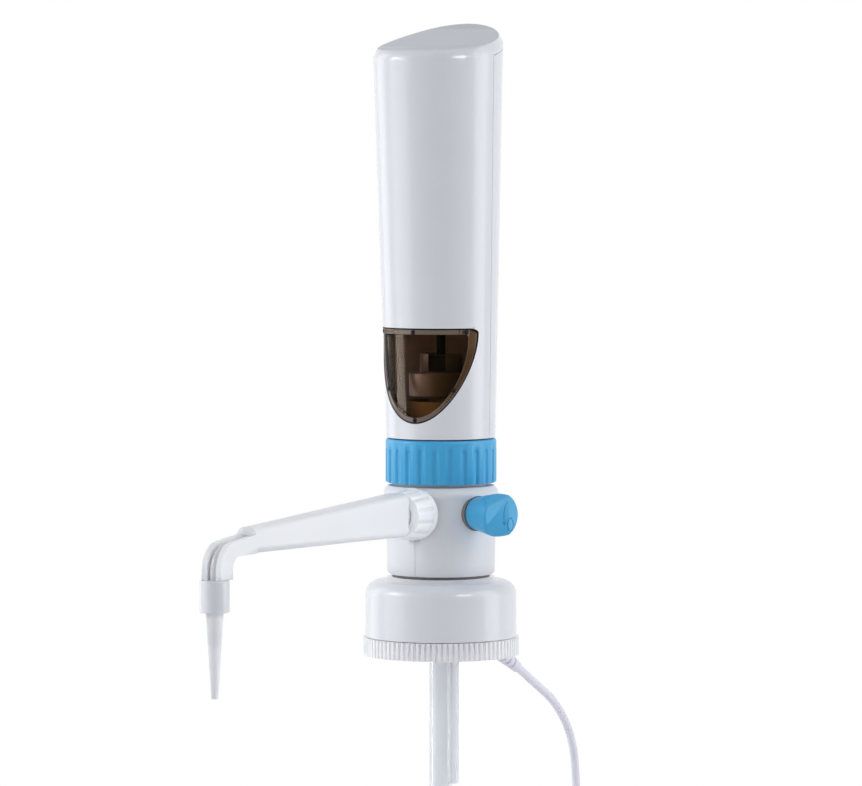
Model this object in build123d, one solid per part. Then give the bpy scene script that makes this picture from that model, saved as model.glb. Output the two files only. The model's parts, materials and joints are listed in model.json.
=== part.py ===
from build123d import *
import math
import os

# Motor-driven bottle top dispenser, in millimetres.
# Origin: on the dispenser's axis, at the bottom plane of the bottle collar.
# +Z is up, the discharge arm points to -Y (the front), the recirculation knob is on the +X side.

# ---- clearances ----
running_gap = 0.08      # radial play of a shaft that turns or slides in its bore
free_gap = 0.3          # air between a moving piece and the wall beside it
mould_gap = 0.2         # air between two moulded pieces of one housing
slip_gap = 0.02         # light push fit of a pin in its hole

# ---- bottle collar ----
thread_bore_r = 22.7    # clears a 45 mm bottle thread
sleeve_wall = 1.3
band_proud = 0.85       # how far the finger ribs stand over the housing
band_height = 6.2
rib_depth = 0.7
rib_pitch = 1.96        # along the rim
lip_thickness = 2.0
seat_z = 15.0           # lower face of the flange that sits over the bottle's mouth
flange_thickness = 2.5
gasket_thickness = 1.5
gasket_inner_r = 14.5

# ---- base housing ----
housing_gap = 0.5       # round the threaded sleeve that turns inside
housing_wall = 2.0
shoulder_z = 26.1
shoulder_fillet = 5.0
neck_ring_r = 18.7
neck_ring_height = 1.3
spacer_inset = 1.6      # depth of the shadow gap between base and block
roof_thickness = 2.6
seat_tube_r = 13.8
seat_tube_bore_r = 9.3

# ---- cable outlet at the rear of the base ----
boss_width = 12.0
boss_height = 14.5
boss_reach = 8.0        # how far the boss stands out behind the housing
boss_edge_r = 3.0
boss_floor = 0.9        # below the relief
outlet_z = 1.0
outlet_tilt = 26.0      # degrees below level
duct_depth = 4.5        # how far the tilted duct runs in before it turns up
duct_turn_z = 9.0       # where it turns level, into the housing
relief_length = 26.0
relief_root_r = 3.3
relief_tip_r = 2.0
relief_grooves = 5
relief_groove_width = 1.2
cable_start = 2.0       # how far the cable's free stretch reaches into the relief
cable_d = 3.0

# ---- valve block ----
block_gap = 1.0         # shadow gap between base and block
block_height = 31.0
block_foot_r = 18.9
block_r = 19.25
block_rim_r = 20.0
block_rim_height = 4.0
block_wall = 2.4
seam_gap = 0.12
core_r = 15.2
core_foot_r = 9.2
outlet_axis_z = 50.5    # height of the discharge arm and of the knob

# ---- union ring ----
ring_gap = 1.1
ring_height = 15.4
ring_r = 19.4
ring_bore_r = 16.7
flute_count = 24
flute_r = 1.4
flute_depth = 0.6
flute_top_margin = 3.0
neck_top_z = 69.7
carrier_flange = 2.3
carrier_neck_r = 15.1

# ---- tower ----
tower_foot_z = 76.3
tower_top_z = 215.0     # where the upper section is given
tower_foot_r = 19.1
tower_top_r = 22.8
tower_lean = 2.3        # how far the upper section leans to the front
tower_wall = 2.0
seam_lean = 3.7         # how far the side seam leans to the front over the same height
scoop_r = 112.0         # hollow of the top face
scoop_low_y = -27.5     # its lowest line
scoop_low_z = 210.8
crown_thickness = 3.0
cover_drop = 4.0        # the rear cover stops this far under the top face
rim_bevel_in = 1.6
rim_bevel_down = 2.8
ledge_width = 4.0
ledge_height = 4.0
stop_width = 1.5
stop_height = 1.2

# ---- window ----
window_reach = 70.0     # degrees from the front to the window's upper corners
window_top_z = 114.9
window_drop = 33.2
window_corner_r = 1.6
seal_width = 0.5
lens_recess = 0.25
lens_thickness = 1.5
lens_depth = 3.2
lens_rim = 1.7
lens_lip = 1.2
stake_r = 0.7

# ---- cylinder and piston ----
stroke = 28.0
barrel_bore_r = 9.3
barrel_r = 11.0
jacket_bore_r = 11.1
jacket_r = 12.15
jacket_top_z = 89.0
piston_rod_r = 4.2
seal_length = 5.0
disc_r = 11.2
disc_z = 90.6
disc_height = 8.2
coupling_r = 7.35
coupling_height = 6.8
coupling_slot = 6.0
coupling_turn = -22.0   # degrees from the front to the way the slot opens

# ---- linear motor ----
bracket_z = 137.0
bracket_thickness = 3.0
motor_r = 13.6
motor_length = 28.0
rotor_r = 4.5
lead_screw_r = 1.7
screw_top_z = 178.0
bracket_screw_turn = 50.0   # degrees from the front, each side
guide_r = 1.5
guide_spacing = 20.0
guide_spare = 2.0       # rod beyond the carriage at the end of its stroke
carriage_height = 4.0
carriage_depth = 7.0
carriage_edge_r = 3.0
rod_seat = 3.8          # how far the guide rods reach into the motor
board_gap = 0.5         # to the rear cover
board_thickness = 1.6
board_width = 14.0
board_height = 32.0
board_lift = 1.5        # over the motor
chip_height = 1.0

# ---- valves ----
chamber_floor_z = 60.3
suction_bore_r = 3.3
riser_r = 2.2
cage_top_z = 44.0
seat_top_z = 37.0
seat_height = 6.0
intake_ball_r = 2.5
intake_seat_r = 1.9
discharge_bore_r = 2.8
discharge_seat_r = 1.5
discharge_ball_r = 2.2
discharge_seat_y = -10.5
ball_lift = 1.2
stop_length = 2.5
groove_r = 0.9

# ---- discharge arm ----
spigot_r = 6.3
spigot_front_y = -22.0
nut_rear_r = 9.5
nut_front_r = 8.0
nut_rear_y = -19.0
nut_front_y = -30.6
nut_flutes = 12
nut_flute_r = 1.5
nut_seat_y = -18.9      # flat face on the block behind the nut
root_flange_r = 6.0
root_flange = 2.0
root_neck_r = 4.6
arm_width = 9.3
arm_tip_width = 7.2
arm_rear_y = -31.0
arm_top_z = 58.6
arm_bottom_z = 43.5
arm_tip_top_z = 53.9
arm_tip_bottom_z = 45.5
arm_tip_y = -133.0
arm_edge_r = 2.4
arm_heel_r = 1.2
nozzle_y = -153.1
bend_r = 7.5            # of the tube's axis, where it turns down
bend_corner_z = 47.4    # where the tube's two straight runs would meet
dip_start_y = -124.0    # from here the tube slopes down to that corner
dip_r = 60.0
inner_bend_y = 5.6      # from the nozzle's axis to the inside of the bend
inner_bend_r = 4.0
rib_proud = 0.5         # how far the guide ribs stand over the tube in the bend
tube_r = 1.6
tube_bore_r = 0.9
collar_r = 4.9
collar_top_z = 38.3
collar_bottom_z = 28.0
collar_wall = 1.3
collar_floor = 1.5
spigot_length = 8.0
tip_root_r = 2.9
tip_end_r = 1.15
tip_end_z = -0.8
tip_bore_top_r = 1.2
tip_bore_end_r = 0.7
tube_end_z = 18.0

# ---- recirculation knob ----
knob_turn = 68.5        # degrees from the front towards +X
knob_root = 20.0        # distance from the dispenser's axis
knob_end = 32.5
knob_root_r = 5.7
knob_grip_r = 8.0
thumb_edge = 6.0        # height of the narrow side of the end face
thumb_edge_x = -6.5
flat_splay = 18.3       # degrees, the two flats apart from level
flat_tilt = 35.0        # degrees, how they fall away towards the root
key_r = 1.6             # of the spindle's end, in the knob
key_length = 6.0
spindle_r = 2.95
spindle_root = 4.2
cross_port_r = 0.9
knob_ring_r = 6.1

# ---- tubes in the bottle ----
filling_r = 4.0
filling_bore_r = 3.0
filling_upper_end_z = -100.0
filling_lower_r = filling_bore_r - running_gap
filling_lower_bore_r = 2.0
filling_lower_top_z = -70.0
filling_end_z = -200.0
return_r = 2.0
return_bore_r = 1.2
return_offset = 6.6
return_end_z = -45.0

# ---- cable put away on the bench ----
bench_z = -205.0
coil_mean_r = 16.5
coil_turns_wide = 3
coil_layers = 4
coil_tail_from = 6.0    # past the coil's middle, where the plug's end leaves its top
coil_centre = (-22.0, 150.0)
cable_points = [
    (0.0, 73.4, -18.4), (0.2, 86.4, -25.2), (0.5, 96.4, -34.4), (0.8, 102.2, -44.5),
    (0.9, 104.3, -58.5), (0.7, 104.6, -76.0), (0.2, 103.7, -101.0), (-0.6, 103.2, -130.0),
    (-1.4, 104.6, -159.0), (-2.1, 109.6, -183.0), (-2.6, 121.0, -198.8), (-2.9, 136.0, -203.2),
]
plug_r = 4.5
plug_length = 24.0
plug_barrel_r = 2.75
plug_barrel_length = 9.5
plug_from = 38.0        # from the coil's middle to the plug's cable end

# ---- screws ----
screw_r = 1.0
screw_head_r = 1.9
screw_head_height = 1.3
screw_length = 6.5
screw_sink = 0.2
cover_tab_height = 7.0
cover_tab_width = 7.0

# ---- thread ridges ----
thread_turns = 3
thread_pitch = 4.0
thread_start_z = 2.6
ridge_r = 0.75
ridge_root = 0.15       # how deep a ridge is rooted in the sleeve

housing_r = thread_bore_r + sleeve_wall + housing_gap + housing_wall
band_r = housing_r + band_proud
boss_rear_y = housing_r + boss_reach
block_z = shoulder_z + neck_ring_height + block_gap
block_top_z = block_z + block_height
core_bottom_z = block_z + 1.6
ring_z = block_top_z + ring_gap
ring_top_z = ring_z + ring_height
carrier_top_z = tower_foot_z + 4.0
low_screw_z = carrier_top_z - 0.5 + cover_tab_height / 2
high_screw_z = bracket_z + 0.5 - cover_tab_height / 2
coupling_z = disc_z + disc_height
bracket_top_z = bracket_z + bracket_thickness
motor_top_z = bracket_top_z + motor_length
guide_top_z = screw_top_z + stroke + guide_spare
board_low_z = motor_top_z + board_lift
knob_way = (math.sin(math.radians(knob_turn)), -math.cos(math.radians(knob_turn)))
knob_plane = Plane(
    origin=(0, 0, outlet_axis_z), x_dir=(-knob_way[1], knob_way[0], 0), z_dir=(*knob_way, 0)
)
upright = (Align.CENTER, Align.CENTER, Align.MIN)


def disc(radius, low, high):
    return Pos(0, 0, low) * Cylinder(radius, high - low, align=upright)


def pipe(outer, inner, low, high):
    return disc(outer, low, high) - disc(inner, low - 1, high + 1)


def along_front(radius, near, far):
    """A round bar on the discharge axis, from y = near forward to y = far."""
    return Pos(0, near, outlet_axis_z) * Rot(90, 0, 0) * Cylinder(radius, near - far, align=upright)


def along_knob(radius, near, far):
    """A round bar on the knob's axis, by distance from the dispenser's axis."""
    return knob_plane * Pos(0, 0, near) * Cylinder(radius, far - near, align=upright)


def tower_share(z):
    return (z - tower_foot_z) / (tower_top_z - tower_foot_z)


def tower_radius(z):
    return tower_foot_r + (tower_top_r - tower_foot_r) * tower_share(z)


def tower_centre_y(z):
    return -tower_lean * tower_share(z)


def tower_solid(inset, low, high):
    """The tower's leaning cone between two heights, shrunk all round by inset."""
    rings = [Pos(0, tower_centre_y(z), z) * Circle(tower_radius(z) - inset) for z in (low, high)]
    return loft(rings, ruled=True)


def window_half_width():
    return tower_radius(window_top_z) * math.sin(math.radians(window_reach))


def window_rear_y():
    """Just behind the upper corners, where the side edges meet the outer skin."""
    corner_y = -tower_radius(window_top_z) * math.cos(math.radians(window_reach))
    return corner_y + tower_centre_y(window_top_z) + window_corner_r


def scoop(depth):
    """The bar that hollows the top face, grown by depth to follow it underneath."""
    place = Pos(0, scoop_low_y, scoop_low_z + scoop_r) * Rot(0, 90, 0)
    return place * Cylinder(scoop_r + depth, 4 * tower_top_r)


def rear_region(gap):
    """What the rear cover takes: behind the leaning side seam and under the crown."""
    tilt = math.degrees(math.atan(seam_lean / (tower_top_z - tower_foot_z)))
    behind = (Align.CENTER, Align.MIN, Align.CENTER)
    block = Box(4 * tower_top_r, 3 * tower_top_r, 3 * tower_top_z, align=behind)
    return Pos(0, gap, tower_foot_z) * Rot(tilt, 0, 0) * block - scoop(cover_drop + gap)


def window_prism(grow):
    """Half an ellipse under a straight top edge, grown all round and run through the front."""
    half = window_half_width() + grow
    drop = window_drop + 2 * grow
    arch = Ellipse(half, drop) & Pos(0, -drop) * Rectangle(2 * half, 2 * drop)
    arch = fillet(arch.vertices(), window_corner_r + max(grow, -1.0))
    rear_y = window_rear_y() + max(grow, 0)
    return extrude(Plane.XZ * Pos(0, window_top_z + grow, -rear_y) * arch, 2 * tower_top_r)


def window_layer(outside, inside, grow):
    """A skin that follows the tower's front inside the window's outline."""
    low = window_top_z - window_drop - 4
    high = window_top_z + 4
    skin = tower_solid(outside, low, high) - tower_solid(inside, low - 1, high + 1)
    return skin & window_prism(grow)


def bracket_screw_spots():
    radius = tower_radius(bracket_z) - tower_wall - ledge_width / 2
    for side in (-1, 1):
        a = math.radians(side * bracket_screw_turn)
        yield Pos(radius * math.sin(a), tower_centre_y(bracket_z) - radius * math.cos(a), bracket_z)


def rear_wall_y(z):
    return tower_radius(z) + tower_centre_y(z)


def cover_screw_spots():
    for z in (low_screw_z, high_screw_z):
        yield Pos(0, rear_wall_y(z), z) * Rot(90, 0, 0), z


def tower_shell():
    shell = tower_solid(0, tower_foot_z, tower_top_z + 11) - scoop(0)
    top = shell.faces().filter_by(GeomType.CYLINDER)[0]
    shell = chamfer(top.edges(), rim_bevel_in, rim_bevel_down, reference=top)
    hollow = tower_solid(tower_wall, tower_foot_z - 1, tower_top_z + 11)
    return shell - (hollow - scoop(crown_thickness))


def inner_ledge(low, high, width):
    ring = tower_solid(tower_wall - 0.5, low, high)
    return ring - tower_solid(tower_wall + width, low - 1, high + 1)


def tower_front_shell():
    shell = tower_shell()
    shell += inner_ledge(bracket_z - ledge_height, bracket_z, ledge_width)
    stop = inner_ledge(carrier_top_z + mould_gap, carrier_top_z + stop_height, stop_width)
    shell += stop - window_prism(lens_lip + mould_gap)
    shell -= rear_region(0)
    low = window_top_z - window_drop - 10
    shell -= window_prism(0) & tower_solid(-2, low, window_top_z + 10)
    for spot in bracket_screw_spots():
        shell -= spot * disc(screw_r + slip_gap, -ledge_height - 1, 1)
    return shell


def tower_rear_cover():
    cover = tower_shell() & rear_region(mould_gap)
    for spot, _ in cover_screw_spots():
        cover -= spot * disc(screw_r + slip_gap, -screw_length, screw_length)
        cover -= spot * disc(screw_head_r + slip_gap, -screw_length, screw_sink + screw_head_height)
    return cover


def window_seal():
    return window_layer(0.4, tower_wall, -0.02) - window_prism(-seal_width)


def window_lens():
    grow = -seal_width - slip_gap
    lens = window_layer(lens_recess, lens_depth, grow)
    lens -= window_layer(lens_recess + lens_thickness, lens_depth + 2, grow - lens_rim)
    flange = window_layer(tower_wall + 0.1, lens_depth, lens_lip) - window_prism(grow - lens_rim)
    lens += flange
    for stake in stake_bars(stake_r + slip_gap):
        lens -= stake
    return lens


def stake_spots():
    """Stake pins in the lens rim: three along the top edge, two down the sides, one at the tip."""
    inset = seal_width + lens_rim / 2
    top = window_top_z - inset
    side = 0.74
    drop = (window_drop - inset) * math.sqrt(1 - side ** 2)
    yield 0, top
    yield 0, window_top_z - window_drop + inset
    for x in (-1, 1):
        yield x * (window_half_width() - inset - 1.0), top
        yield x * side * (window_half_width() - inset), window_top_z - drop


def stake_bars(radius):
    for x, z in stake_spots():
        share = tower_share(z)
        tower_r = tower_foot_r + (tower_top_r - tower_foot_r) * share
        centre_y = -tower_lean * share
        turn = math.degrees(math.asin(x / tower_r))
        bar = Cylinder(radius, lens_depth + 0.2 - lens_recess, align=upright)
        place = Pos(0, centre_y, z) * Rot(0, 0, turn) * Pos(0, -tower_r + lens_depth + 0.2, 0)
        yield place * Rot(90, 0, 0) * bar


def window_stakes():
    return Compound(children=[Part(bar.wrapped) for bar in stake_bars(stake_r)])


def union_ring():
    ring = pipe(ring_r, ring_bore_r, ring_z, ring_top_z)
    edges = ring.edges().filter_by(GeomType.CIRCLE).group_by(SortBy.RADIUS)[-1]
    ring = fillet(edges.sort_by(Axis.Z)[-1], 1.0)
    edges = ring.edges().filter_by(GeomType.CIRCLE).group_by(SortBy.RADIUS)[-1]
    ring = chamfer(edges.sort_by(Axis.Z)[0], 0.4)
    lip_z = neck_top_z + carrier_flange + free_gap
    ring += pipe(ring_bore_r + 0.5, carrier_neck_r + free_gap, lip_z, ring_top_z)
    flute_end = ring_top_z - flute_top_margin - flute_r
    flute = disc(flute_r, ring_z - 1, flute_end) + Pos(0, 0, flute_end) * Sphere(flute_r)
    for step in range(flute_count):
        turn = Rot(0, 0, (step + 0.5) * 360 / flute_count)
        ring -= turn * Pos(ring_r + flute_r - flute_depth, 0, 0) * flute
    return ring


def cylinder_carrier():
    """The flanged sleeve that stands on the block's neck and carries tower and cylinder."""
    carrier = disc(ring_bore_r - free_gap, neck_top_z, neck_top_z + carrier_flange)
    carrier += disc(carrier_neck_r, neck_top_z, tower_foot_z + 0.3)
    carrier += tower_solid(tower_wall + mould_gap, tower_foot_z + 0.3, carrier_top_z)
    carrier += cover_tab(carrier_top_z - 0.5, jacket_r)
    carrier -= disc(jacket_r + slip_gap, neck_top_z - 1, tower_top_z)
    return carrier - screw_bore(low_screw_z)


def screw_bore(z):
    """The blind hole that a rear cover screw bites into."""
    bar = disc(screw_r + slip_gap, screw_head_height, screw_sink + screw_length + 0.3)
    return Pos(0, rear_wall_y(z), z) * Rot(90, 0, 0) * bar


def cover_tab(low, front_y):
    """The upright tab inside the rear wall that takes a rear cover screw."""
    block = Box(cover_tab_width, 40, cover_tab_height, align=(Align.CENTER, Align.MIN, Align.MIN))
    return Pos(0, front_y, low) * block & tower_solid(tower_wall + mould_gap, low - 1, low + 20)


def cylinder_jacket():
    jacket = pipe(jacket_r, jacket_bore_r, chamber_floor_z + free_gap, jacket_top_z)
    return fillet(jacket.edges().sort_by(Axis.Z)[-2:], 0.3)


def glass_cylinder():
    top = jacket_top_z - 1.0
    return pipe(barrel_r, barrel_bore_r, chamber_floor_z + free_gap, top)


def piston_seal():
    low = chamber_floor_z + free_gap + 0.4
    seal = disc(barrel_bore_r - running_gap, low, low + seal_length)
    for z in (low + 1.4, low + 3.2):
        seal -= pipe(barrel_bore_r + 1, barrel_bore_r - 0.8, z, z + 0.6)
    return seal


def piston_rod():
    low = chamber_floor_z + free_gap + 0.4 + seal_length
    rod = disc(piston_rod_r, low, disc_z)
    return rod + disc(barrel_bore_r - 1.0, low, low + 1.6)


def piston_disc():
    plate = disc(disc_r, disc_z, disc_z + disc_height)
    return fillet(plate.edges().filter_by(GeomType.CIRCLE), 0.5)


def drive_coupling():
    cup = disc(coupling_r, coupling_z, coupling_z + coupling_height)
    cup = fillet(cup.edges().filter_by(GeomType.CIRCLE).sort_by(Axis.Z)[-1], 0.5)
    slot = Pos(0, 0, coupling_z + coupling_height / 2 + 0.6)
    return cup - slot * Rot(0, 0, coupling_turn) * Box(coupling_slot, 3 * coupling_r, coupling_height)


def rod_head():
    """The flat head that sits in the coupling's slot and lifts the piston."""
    low = coupling_z + 0.6
    height = coupling_height - 1.2
    head = Box(coupling_slot - 2 * slip_gap, 1.7 * coupling_r, height, align=upright)
    return Pos(0, 0, low) * Rot(0, 0, coupling_turn) * head


def lead_screw():
    return disc(lead_screw_r, coupling_z + coupling_height - 0.6, screw_top_z)


def motor_bracket():
    plate = tower_solid(tower_wall + mould_gap, bracket_z, bracket_top_z)
    plate += cover_tab(bracket_z + 0.5 - cover_tab_height, motor_r - 1)
    plate -= disc(rotor_r, bracket_z - 1, bracket_top_z + 1)
    for spot in bracket_screw_spots():
        plate -= spot * disc(screw_r + slip_gap, -1, bracket_thickness + 1)
    return plate - screw_bore(high_screw_z)


def bracket_screws():
    screws = []
    for spot in bracket_screw_spots():
        screw = disc(screw_r, -ledge_height + 0.5, bracket_thickness)
        screw += disc(screw_head_r, bracket_thickness, bracket_thickness + screw_head_height)
        screws.append(Part((spot * screw).wrapped))
    return Compound(children=screws)


def rear_cover_screws():
    screws = []
    for spot, _ in cover_screw_spots():
        screw = disc(screw_r, screw_sink, screw_sink + screw_length)
        screw += disc(screw_head_r, screw_sink, screw_sink + screw_head_height)
        screws.append(Part((spot * screw).wrapped))
    return Compound(children=screws)


def linear_motor():
    can = disc(motor_r, bracket_top_z, motor_top_z)
    can = fillet(can.edges().filter_by(GeomType.CIRCLE), 0.8)
    can -= pipe(motor_r + 1, motor_r - 0.6, bracket_top_z + 5, motor_top_z - 5)
    can -= disc(rotor_r + running_gap, bracket_top_z - 1, motor_top_z + 1)
    for x in (-1, 1):
        bore = disc(guide_r + slip_gap, motor_top_z - rod_seat - slip_gap, motor_top_z + 1)
        can -= Pos(x * guide_spacing / 2, 0) * bore
    return can


def rotor_nut():
    return pipe(rotor_r, lead_screw_r + running_gap, bracket_top_z + free_gap, motor_top_z - free_gap)


def guide_rods():
    bar = disc(guide_r, motor_top_z - rod_seat, guide_top_z)
    bars = [Pos(x * guide_spacing / 2, 0) * bar for x in (-1, 1)]
    return Compound(children=[Part(bar.wrapped) for bar in bars])


def guide_carriage():
    low = screw_top_z - carriage_height
    block = Box(guide_spacing + carriage_depth, carriage_depth, carriage_height, align=upright)
    block = fillet(block.edges().filter_by(Axis.Z), carriage_edge_r)
    block = Pos(0, 0, low) * block - disc(lead_screw_r + slip_gap, low - 1, screw_top_z + 1)
    for x in (-1, 1):
        block -= Pos(x * guide_spacing / 2, 0) * disc(guide_r + running_gap, low - 1, screw_top_z + 1)
    return block


def control_board():
    """The board against the rear cover above the motor, its chips on the front side."""
    standing = (Align.CENTER, Align.MAX, Align.MIN)
    board = Box(board_width, board_thickness, board_height, align=standing)
    for across, up, wide, tall in ((0, 0.68, 0.5, 0.22), (-0.25, 0.4, 0.2, 0.16),
                                   (0.25, 0.4, 0.2, 0.16), (0, 0.1, 0.57, 0.19)):
        chip = Box(wide * board_width, chip_height, tall * board_height, align=standing)
        board += Pos(across * board_width, -board_thickness, up * board_height) * chip
    inner_r = tower_radius(board_low_z) - tower_wall - board_gap
    rear_y = math.sqrt(inner_r ** 2 - (board_width / 2) ** 2) + tower_centre_y(board_low_z + board_height)
    return Pos(0, rear_y, board_low_z) * board


def thread_ring():
    """The ribbed band and the threaded sleeve that clamps the dispenser to the bottle."""
    count = round(2 * math.pi * band_r / rib_pitch)
    outline = []
    for step in range(count):
        for share, radius in ((0.0, band_r - rib_depth), (0.28, band_r - rib_depth),
                              (0.42, band_r), (0.86, band_r)):
            a = 2 * math.pi * (step + share) / count
            outline.append((radius * math.cos(a), radius * math.sin(a)))
    ring = extrude(make_face(Polyline(*outline, close=True)), band_height)
    sleeve_r = thread_bore_r + sleeve_wall
    lip_z = seat_z + flange_thickness + free_gap
    ring -= disc(sleeve_r - ridge_root, -1, band_height + 1)
    ring += pipe(sleeve_r, thread_bore_r, 0, lip_z + lip_thickness)
    ring += pipe(sleeve_r, seat_tube_r + free_gap, lip_z, lip_z + lip_thickness)
    ridge = Torus(thread_bore_r + ridge_root, ridge_r) & disc(sleeve_r - ridge_root, -ridge_r, ridge_r)
    for step in range(thread_turns):
        ring += Pos(0, 0, thread_start_z + step * thread_pitch) * ridge
    return ring


def bottle_seat():
    """The flange that rests on the bottle's mouth, on the tube that carries block and housing."""
    flange = disc(thread_bore_r - 2 * free_gap, seat_z, seat_z + flange_thickness)
    seat = flange + disc(seat_tube_r, seat_z, core_bottom_z)
    seat += disc(neck_ring_r - spacer_inset, shoulder_z + neck_ring_height, block_z)
    return seat - disc(seat_tube_bore_r, seat_z - 1, core_bottom_z + 1)


def seat_gasket():
    return pipe(thread_bore_r - 0.5, gasket_inner_r, seat_z - gasket_thickness, seat_z)


def outlet_place():
    return Pos(0, boss_rear_y, outlet_z) * Rot(-90 - outlet_tilt, 0, 0)


def base_housing():
    low = band_height + free_gap
    body = disc(housing_r, low, shoulder_z)
    body = fillet(body.edges().filter_by(GeomType.CIRCLE).sort_by(Axis.Z)[-1], shoulder_fillet)
    ring_low = shoulder_z - 1
    body += disc(neck_ring_r, ring_low, shoulder_z + neck_ring_height)
    boss = Box(boss_width, 2 * boss_reach, boss_height, align=(Align.CENTER, Align.MAX, Align.MIN))
    boss = fillet(boss.edges().filter_by(Axis.Y).sort_by(Axis.Z)[-2:], boss_edge_r)
    boss = Pos(0, boss_rear_y, outlet_z - relief_root_r - boss_floor) * boss
    boss -= disc(band_r + housing_gap, -2 * boss_height, low)
    body += boss
    cavity = disc(housing_r - housing_wall, low - 1, shoulder_z - roof_thickness)
    rim = cavity.edges().filter_by(GeomType.CIRCLE).sort_by(Axis.Z)[-1]
    body -= fillet(rim, shoulder_fillet - housing_wall)
    body -= disc(seat_tube_r + slip_gap, low, shoulder_z + 2 * neck_ring_height)
    return body - cable_duct()


def cable_duct():
    """The way of the cable through the boss: in along the relief, up, and level into the housing."""
    duct_r = cable_d / 2 + mould_gap
    turn_y = boss_rear_y - duct_depth * math.cos(math.radians(outlet_tilt))
    turn_z = outlet_z + duct_depth * math.sin(math.radians(outlet_tilt))
    duct = outlet_place() * disc(duct_r, -duct_depth, relief_root_r)
    duct += Pos(0, turn_y) * disc(duct_r + mould_gap, turn_z - duct_r, duct_turn_z)
    level = Cylinder(duct_r, boss_reach + housing_wall, align=upright)
    return duct + Pos(0, turn_y, duct_turn_z) * Rot(90, 0, 0) * level


def strain_relief():
    """A tapered, ringed sleeve on the cable, cut off upright where it meets the outlet boss."""
    pitch = relief_length / (relief_grooves + 2)

    def radius_at(z):
        return relief_root_r + (relief_tip_r - relief_root_r) * max(z, 0) / relief_length

    points = [(0, -1.6), (relief_root_r, -1.6), (relief_root_r, 0)]
    for step in range(relief_grooves):
        low = pitch * (step + 1.2)
        high = low + relief_groove_width
        floor = cable_d / 2 + 0.35
        points += [(radius_at(low), low), (floor, low), (floor, high), (radius_at(high), high)]
    points += [(relief_tip_r, relief_length), (0, relief_length)]
    sleeve = revolve(make_face(Plane.XZ * Polyline(*points, close=True)), Axis.Z)
    sleeve -= disc(cable_d / 2, relief_length - cable_start, relief_length + 1)
    behind = Box(20, 20, 20, align=(Align.CENTER, Align.MAX, Align.CENTER))
    return outlet_place() * sleeve - Pos(0, boss_rear_y, outlet_z) * behind


def valve_block():
    """The outer shell of the valve block, before it is split into its two halves."""
    rim_low = block_top_z - block_rim_height
    profile = Polyline(
        (core_r + 0.3, block_z), (block_foot_r - 0.8, block_z), (block_foot_r, block_z + 0.8),
        (block_r, rim_low - 0.8), (block_rim_r, rim_low + 0.8), (block_rim_r, block_top_z - 1.6),
        (block_rim_r - 1.4, block_top_z), (core_r + 0.3, block_top_z), close=True)
    block = revolve(make_face(Plane.XZ * profile), Axis.Z)
    hollow = disc(block_r - block_wall, block_z + 2, block_top_z - 2)
    block -= hollow
    block -= along_front(spigot_r + slip_gap, 0, -2 * block_rim_r)
    block -= along_front(nut_rear_r + free_gap, nut_seat_y, -2 * block_rim_r)
    return block - along_knob(knob_ring_r + slip_gap, 0, 2 * block_rim_r)


def valve_block_half(side):
    half = Box(60, 60, 60, align=(Align.MIN if side > 0 else Align.MAX, Align.CENTER, Align.CENTER))
    return valve_block() & Pos(side * seam_gap / 2, 0, outlet_axis_z) * half


def valve_core():
    core = disc(core_r, core_bottom_z, block_top_z)
    core += disc(ring_bore_r - free_gap, block_top_z, neck_top_z)
    core += disc(seat_tube_bore_r - slip_gap, seat_z, core_bottom_z)
    core += along_front(spigot_r, 0, spigot_front_y)
    core -= disc(jacket_r + slip_gap, chamber_floor_z, tower_top_z)
    core -= disc(riser_r, 0, chamber_floor_z + 1)
    core -= disc(suction_bore_r, 0, cage_top_z)
    core -= disc(filling_r + slip_gap, 0, seat_z + 10)
    core -= along_front(discharge_seat_r, 0, -core_r)
    core -= along_front(discharge_bore_r, discharge_seat_y, -2 * block_rim_r)
    core -= along_knob(spindle_r + running_gap, spindle_root - 0.8, 2 * block_rim_r)
    core -= along_knob(cross_port_r, 0, spindle_root + 0.8)
    drain_x, drain_y = (return_offset * way for way in knob_way)
    core -= Pos(drain_x, drain_y) * disc(return_bore_r, 0, outlet_axis_z)
    core -= Pos(drain_x, drain_y) * disc(return_r + slip_gap, 0, seat_z + 8)
    return core


def intake_seat():
    return pipe(suction_bore_r - slip_gap, intake_seat_r, seat_top_z - seat_height, seat_top_z)


def intake_ball():
    rise = math.sqrt(intake_ball_r ** 2 - intake_seat_r ** 2)
    return Pos(0, 0, seat_top_z + rise + slip_gap) * Sphere(intake_ball_r)


def discharge_ball():
    step = math.sqrt(discharge_ball_r ** 2 - discharge_seat_r ** 2)
    return Pos(0, discharge_seat_y - step - slip_gap, outlet_axis_z) * Sphere(discharge_ball_r)


def ball_stop():
    """A star-shaped stop that keeps the discharge ball in its cage and lets liquid past."""
    step = math.sqrt(discharge_ball_r ** 2 - discharge_seat_r ** 2)
    rear = discharge_seat_y - step - discharge_ball_r - ball_lift - mould_gap
    stop = along_front(discharge_bore_r - slip_gap, rear, rear - stop_length)
    groove = Pos(discharge_bore_r - groove_r, 0) * Cylinder(groove_r, 6 * core_r)
    for turn in range(3):
        stop -= Pos(0, 0, outlet_axis_z) * Rot(90, 0, 0) * Rot(0, 0, 90 + 120 * turn) * groove
    return stop


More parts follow.
